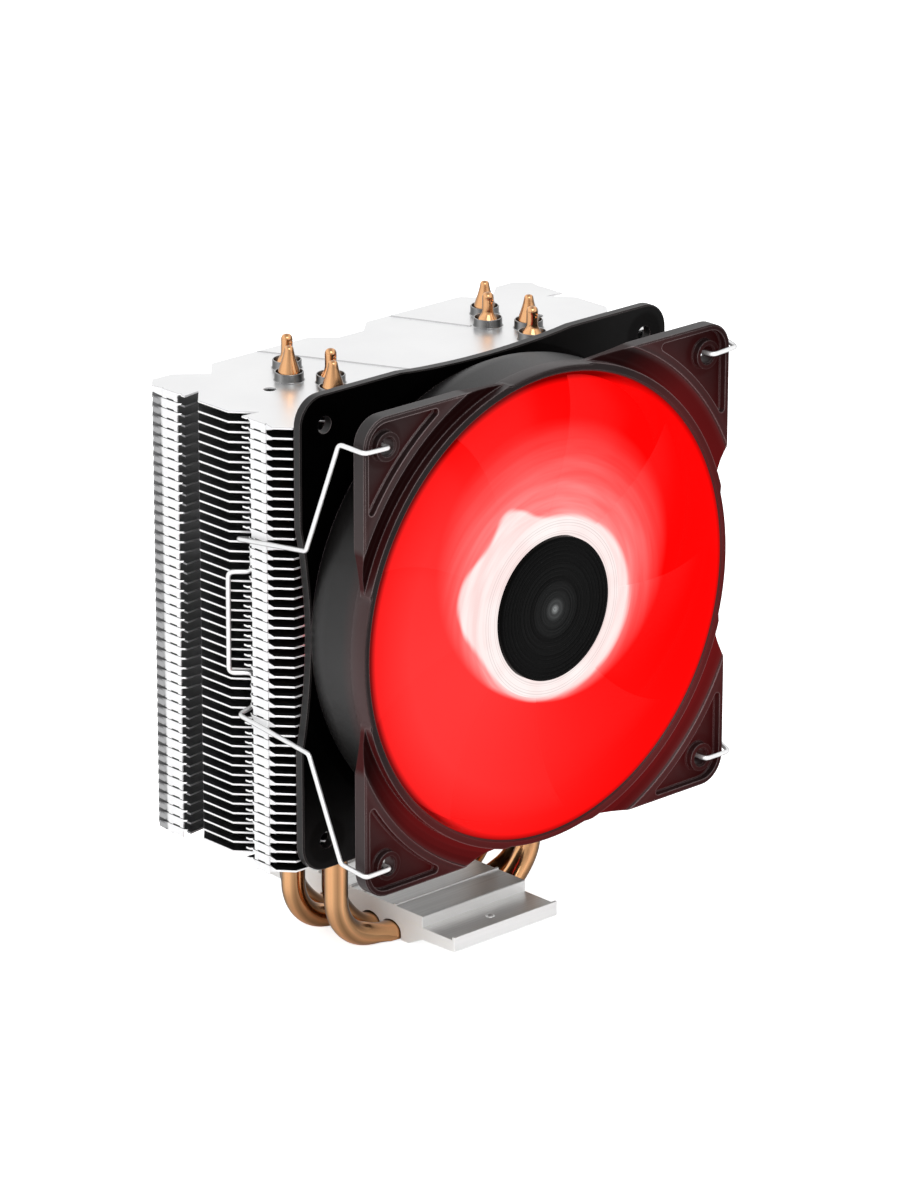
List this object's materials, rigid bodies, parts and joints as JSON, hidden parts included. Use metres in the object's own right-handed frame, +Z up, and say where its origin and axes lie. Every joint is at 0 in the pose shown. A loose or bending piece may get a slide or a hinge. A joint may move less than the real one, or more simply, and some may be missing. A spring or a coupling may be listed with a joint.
{
  "type": "cpu tower cooler",
  "caption": "Tower CPU cooler: locked fin stack on U-shaped heat pipes over a direct-touch base, with a lit axial fan held by bent wire clips.",
  "frame": {"origin": "on the base contact face, the face that presses on the processor, at the middle of the web between the two inner heat pipes and of the base length", "axes": "+Z up through the fin stack, away from the processor; the fan faces -Y; +X to the right seen from the fan"},
  "size_m": [0.1282, 0.0886, 0.1536],
  "materials": {
    "fin_aluminium": "bright rolled sheet, sharp stamped edges",
    "copper_pipe": "polished bare copper, swaged ends",
    "base_aluminium": "extruded, satin, faint lines along the length",
    "frame_plastic": "moulded black, fine satin",
    "rotor_plastic": "translucent red, lit from the hub",
    "hub_cap": "black disc with fine turned rings",
    "clip_wire": "bright bent spring wire",
    "polished_steel": "ground shaft",
    "motor_steel": "drawn steel",
    "ferrite": "bonded magnet",
    "bronze": "sintered bronze",
    "lamination": "stacked laminations",
    "copper_winding": "enamelled winding wire",
    "circuit_board": "green solder mask",
    "led": "red light-emitting package",
    "lead_sleeve": "black sleeve",
    "connector_plastic": "black connector housing"
  },
  "bodies": {
    "heatsink": {"base_block": "base_aluminium", "heat_pipe_1": "copper_pipe", "heat_pipe_2": "copper_pipe", "heat_pipe_3": "copper_pipe", "heat_pipe_4": "copper_pipe", "top_fin": "fin_aluminium", "fin_pair_01": "fin_aluminium", "fin_pair_02": "fin_aluminium", "fin_pair_03": "fin_aluminium", "fin_pair_04": "fin_aluminium", "fin_pair_05": "fin_aluminium", "fin_pair_06": "fin_aluminium", "fin_pair_07": "fin_aluminium", "fin_pair_08": "fin_aluminium", "fin_pair_09": "fin_aluminium", "fin_pair_10": "fin_aluminium", "fin_pair_11": "fin_aluminium", "fin_pair_12": "fin_aluminium", "fin_pair_13": "fin_aluminium", "fin_pair_14": "fin_aluminium", "fin_pair_15": "fin_aluminium", "fin_pair_16": "fin_aluminium", "fin_pair_17": "fin_aluminium", "fin_pair_18": "fin_aluminium", "fin_pair_19": "fin_aluminium", "fin_pair_20": "fin_aluminium", "fin_pair_21": "fin_aluminium", "fin_pair_22": "fin_aluminium", "bottom_fin": "fin_aluminium"},
    "fan": {"fan_frame": "frame_plastic", "bearing_sleeve": "bronze", "bearing_cover": "frame_plastic", "stator_core": "lamination", "stator_coil_1": "copper_winding", "stator_coil_2": "copper_winding", "stator_coil_3": "copper_winding", "stator_coil_4": "copper_winding", "motor_pcb": "circuit_board", "led_1": "led", "led_2": "led", "led_3": "led", "led_4": "led", "fan_lead": "lead_sleeve", "lead_connector": "connector_plastic"},
    "rotor": {"fan_impeller": "rotor_plastic", "hub_cap": "hub_cap", "rotor_yoke": "motor_steel", "magnet_ring": "ferrite", "rotor_shaft": "polished_steel", "shaft_clip": "motor_steel"},
    "clip_left": {"fan_clip_left": "clip_wire"},
    "clip_right": {"fan_clip_right": "clip_wire"}
  },
  "joints": [
    {"name": "fan_slide", "type": "slide", "parent": "heatsink", "child": "fan", "axis": [0, 0, 1], "range_m": [-0.02, 0.025]},
    {"name": "rotor_spin", "type": "hinge", "parent": "fan", "child": "rotor", "pos_m": [0, -0.03735, 0.0926], "axis": [0, -1, 0], "continuous": true},
    {"name": "clip_left_swing", "type": "hinge", "parent": "fan", "child": "clip_left", "pos_m": [-0.0529, -0.04785, 0.0926], "axis": [0, 0, 1], "range_deg": [0, 30]},
    {"name": "clip_right_swing", "type": "hinge", "parent": "fan", "child": "clip_right", "pos_m": [0.0529, -0.04785, 0.0926], "axis": [0, 0, -1], "range_deg": [0, 30]}
  ]
}
